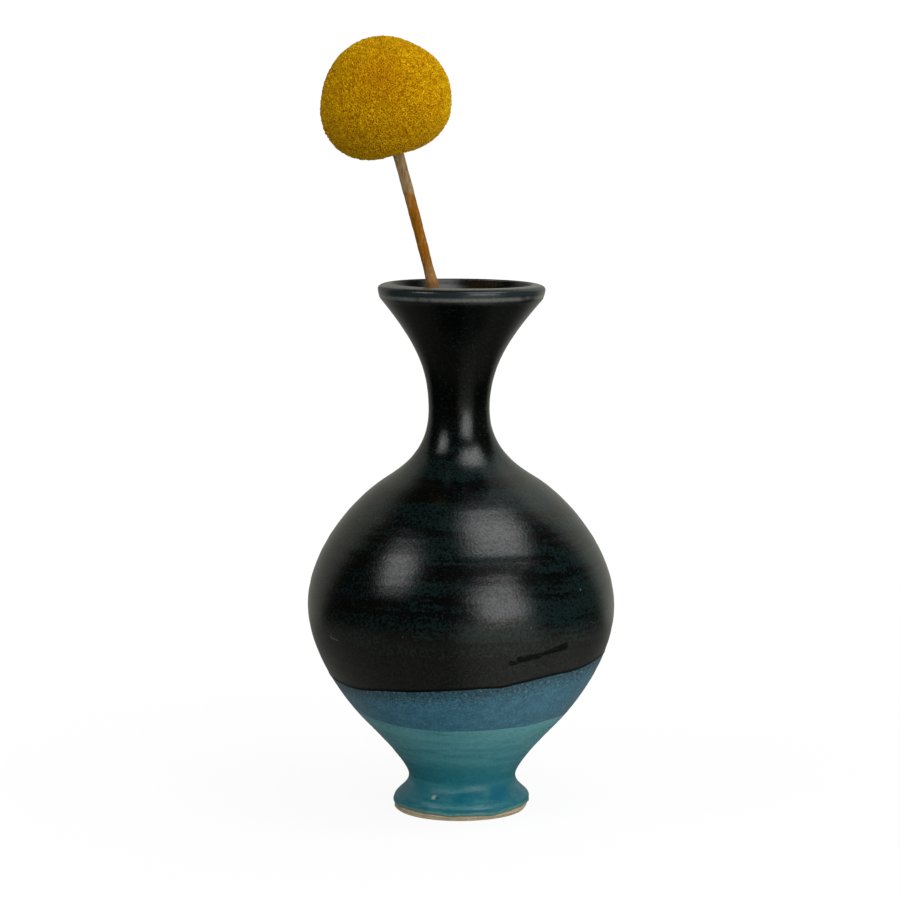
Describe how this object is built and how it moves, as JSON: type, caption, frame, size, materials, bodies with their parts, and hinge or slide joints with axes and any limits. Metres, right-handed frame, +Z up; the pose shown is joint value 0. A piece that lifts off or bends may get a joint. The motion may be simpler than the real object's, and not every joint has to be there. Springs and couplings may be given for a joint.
{
  "type": "bud vase",
  "caption": "Wheel-thrown ceramic bud vase with a flared lip, narrow throat, round belly and trimmed foot, glazed black over blue over turquoise, holding one dried globe flower.",
  "frame": {"origin": "centre of the foot's underside, on the surface that the vase stands on", "axes": "+Z up along the vase's own axis, -X towards the side that the flower leans to, -Y the front"},
  "size_m": [0.0696, 0.0696, 0.1759],
  "materials": {
    "clay": "matt",
    "inner_glaze": "satin",
    "black_glaze": "satin",
    "blue_glaze": "satin",
    "turquoise_glaze": "satin",
    "dried_stem": "matt",
    "woody_core": "matt",
    "florets": "matt"
  },
  "bodies": {
    "vase": {"clay_body": "clay", "liner_glaze": "inner_glaze", "black_glaze": "black_glaze", "blue_glaze": "blue_glaze", "turquoise_glaze": "turquoise_glaze"},
    "flower": {"stem": "dried_stem", "receptacle": "woody_core", "floret_globe": "florets"}
  },
  "joints": [
    {"name": "stem_lift", "type": "slide", "parent": "vase", "child": "flower", "axis": [-0.1619, 0, 0.9868], "range_m": [0, 0.115]}
  ]
}
